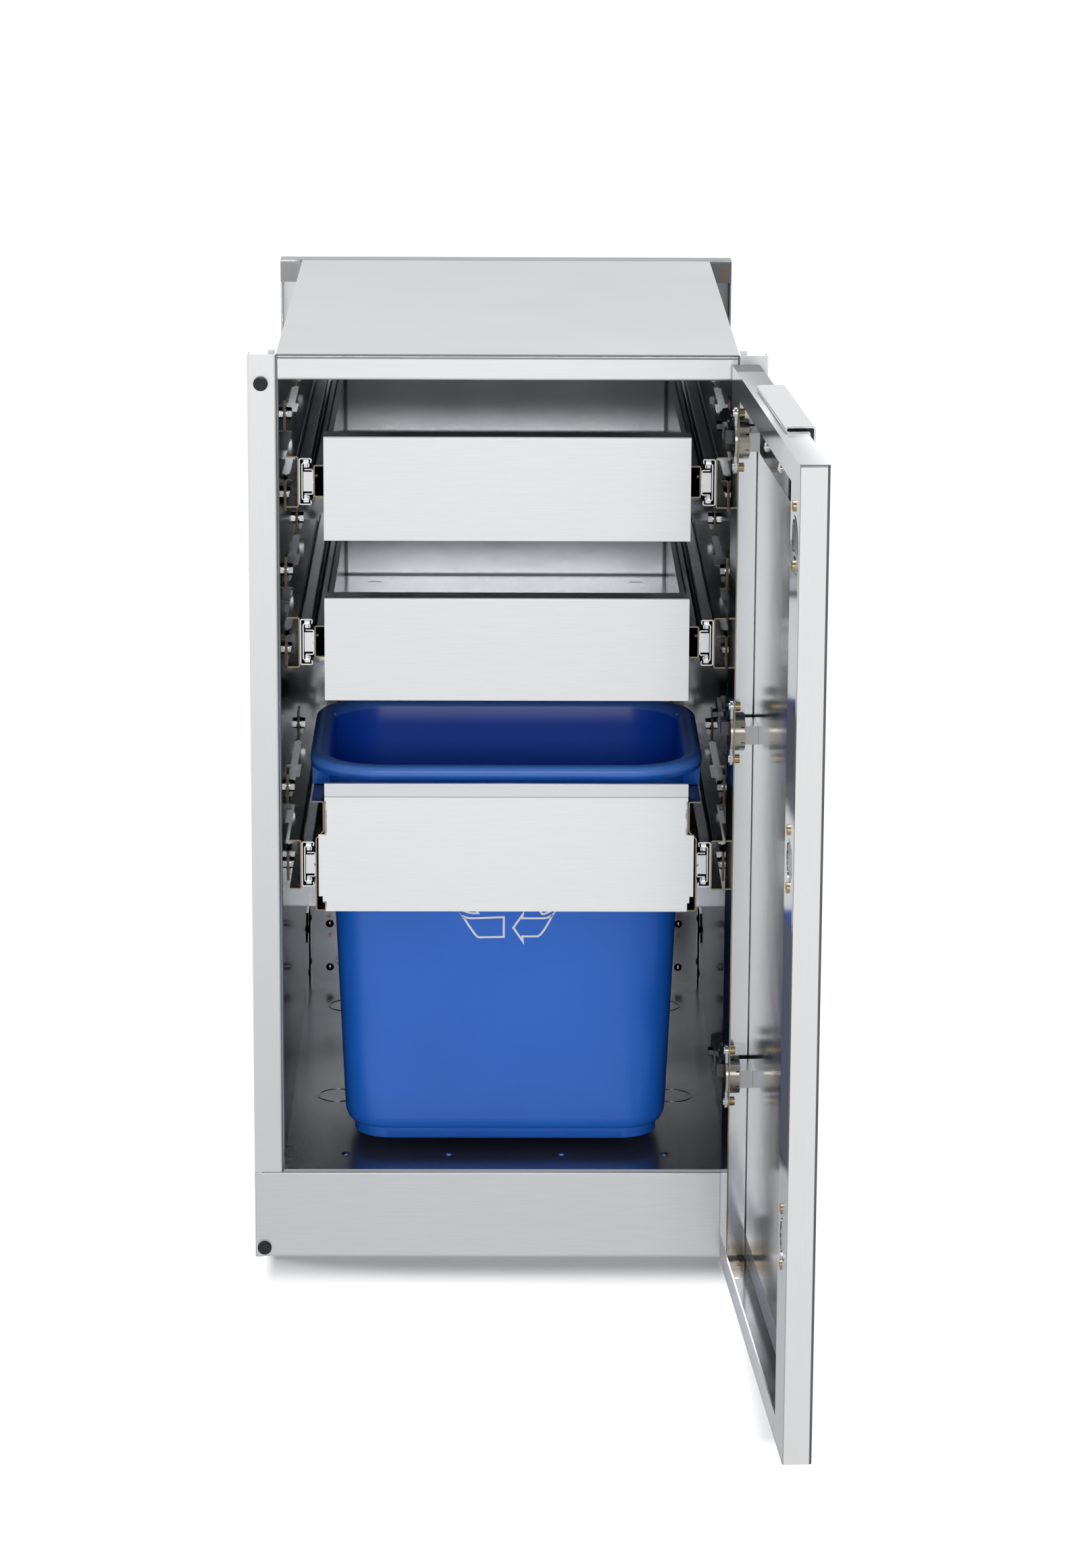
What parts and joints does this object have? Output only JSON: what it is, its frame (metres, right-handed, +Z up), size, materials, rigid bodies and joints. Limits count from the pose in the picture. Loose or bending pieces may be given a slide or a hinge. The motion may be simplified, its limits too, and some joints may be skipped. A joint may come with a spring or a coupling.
{
  "type": "cabinet with drawers and pull-out waste bin",
  "caption": "Narrow stainless-steel outdoor-kitchen cabinet with drawers over a pull-out waste bin, behind a side-hinged door.",
  "frame": {"origin": "centre of the levelling-foot hole pattern, on the plane that the cabinet stands on, midway across its width and depth", "axes": "+X to the right seen from the front, +Y from the door towards the rear frame, +Z up"},
  "size_m": [0.4775, 1.0481, 0.838],
  "materials": {
    "brushed_stainless": "brushed stainless steel",
    "polished_stainless": "bright rolled stainless steel",
    "zinc_plated_steel": "bright zinc plate",
    "bright_fasteners": "bright zinc plate",
    "nickel_hinges": "nickel plate",
    "chrome_pull": "satin chrome",
    "brass_inserts": "dull brass",
    "blue_polyethylene": "moulded satin plastic",
    "black_rubber": "matt rubber"
  },
  "bodies": {
    "cabinet": {"base_channel": "brushed_stainless", "floor_panel": "polished_stainless", "foot_plates": "brushed_stainless", "left_side_panel": "polished_stainless", "right_side_panel": "polished_stainless", "back_panel": "brushed_stainless", "top_panel": "brushed_stainless", "left_front_stile": "brushed_stainless", "right_front_stile": "brushed_stainless", "top_rail": "brushed_stainless", "rear_top_rail": "brushed_stainless", "left_rear_post": "brushed_stainless", "right_rear_post": "brushed_stainless", "corner_gussets": "brushed_stainless", "panel_rivets": "bright_fasteners", "door_bumpers": "black_rubber", "carrier_bolts": "bright_fasteners", "upper_left_carrier": "polished_stainless", "upper_right_carrier": "polished_stainless", "lower_left_carrier": "polished_stainless", "lower_right_carrier": "polished_stainless", "bin_left_carrier": "polished_stainless", "bin_right_carrier": "polished_stainless", "upper_left_outer_slide": "zinc_plated_steel", "upper_right_outer_slide": "zinc_plated_steel", "lower_left_outer_slide": "zinc_plated_steel", "lower_right_outer_slide": "zinc_plated_steel", "bin_left_outer_slide": "zinc_plated_steel", "bin_right_outer_slide": "zinc_plated_steel", "upper_hinge_arm": "nickel_hinges", "middle_hinge_arm": "nickel_hinges", "lower_hinge_arm": "nickel_hinges"},
    "door": {"door_pan": "brushed_stainless", "door_pull": "chrome_pull", "pull_backing_channel": "polished_stainless", "pull_screws": "bright_fasteners", "cup_screw_inserts": "brass_inserts", "cup_screws_set": "bright_fasteners", "upper_hinge_cup": "nickel_hinges", "middle_hinge_cup": "nickel_hinges", "lower_hinge_cup": "nickel_hinges"},
    "upper_drawer": {"upper_drawer_box": "brushed_stainless", "upper_drawer_brackets": "polished_stainless", "upper_inner_slides": "zinc_plated_steel"},
    "lower_drawer": {"lower_drawer_box": "brushed_stainless", "lower_drawer_brackets": "polished_stainless", "lower_inner_slides": "zinc_plated_steel"},
    "bin_pullout": {"bin_carrier_front": "brushed_stainless", "bin_carrier_left_rail": "polished_stainless", "bin_carrier_right_rail": "polished_stainless", "bin_carrier_cross_bars": "polished_stainless", "bin_inner_slides": "zinc_plated_steel"},
    "waste_bin_body": {"waste_bin": "blue_polyethylene"},
    "upper_slide_middle": {"upper_left_middle_slide": "zinc_plated_steel", "upper_right_middle_slide": "zinc_plated_steel"},
    "lower_slide_middle": {"lower_left_middle_slide": "zinc_plated_steel", "lower_right_middle_slide": "zinc_plated_steel"},
    "bin_slide_middle": {"bin_left_middle_slide": "zinc_plated_steel", "bin_right_middle_slide": "zinc_plated_steel"}
  },
  "joints": [
    {"name": "door_hinge", "type": "hinge", "parent": "cabinet", "child": "door", "pos_m": [0.215, -0.3135, 0.507], "axis": [0, 0, 1], "range_deg": [-93.6, 6.4]},
    {"name": "upper_drawer_slide", "type": "slide", "parent": "cabinet", "child": "upper_drawer", "axis": [0, -1, 0], "range_m": [0, 0.43]},
    {"name": "lower_drawer_slide", "type": "slide", "parent": "cabinet", "child": "lower_drawer", "axis": [0, -1, 0], "range_m": [0, 0.43]},
    {"name": "bin_pullout_slide", "type": "slide", "parent": "cabinet", "child": "bin_pullout", "axis": [0, -1, 0], "range_m": [0, 0.43]},
    {"name": "bin_lift", "type": "slide", "parent": "bin_pullout", "child": "waste_bin_body", "axis": [0, 0, 1], "range_m": [0, 0.055]},
    {"name": "upper_middle_slide", "type": "slide", "parent": "cabinet", "child": "upper_slide_middle", "axis": [0, -1, 0], "range_m": [0, 0.215]},
    {"name": "lower_middle_slide", "type": "slide", "parent": "cabinet", "child": "lower_slide_middle", "axis": [0, -1, 0], "range_m": [0, 0.215]},
    {"name": "bin_middle_slide", "type": "slide", "parent": "cabinet", "child": "bin_slide_middle", "axis": [0, -1, 0], "range_m": [0, 0.215]}
  ],
  "couplings": [
    {"joint": "upper_middle_slide", "follows": "upper_drawer_slide", "ratio": 0.5},
    {"joint": "lower_middle_slide", "follows": "lower_drawer_slide", "ratio": 0.5},
    {"joint": "bin_middle_slide", "follows": "bin_pullout_slide", "ratio": 0.5}
  ]
}
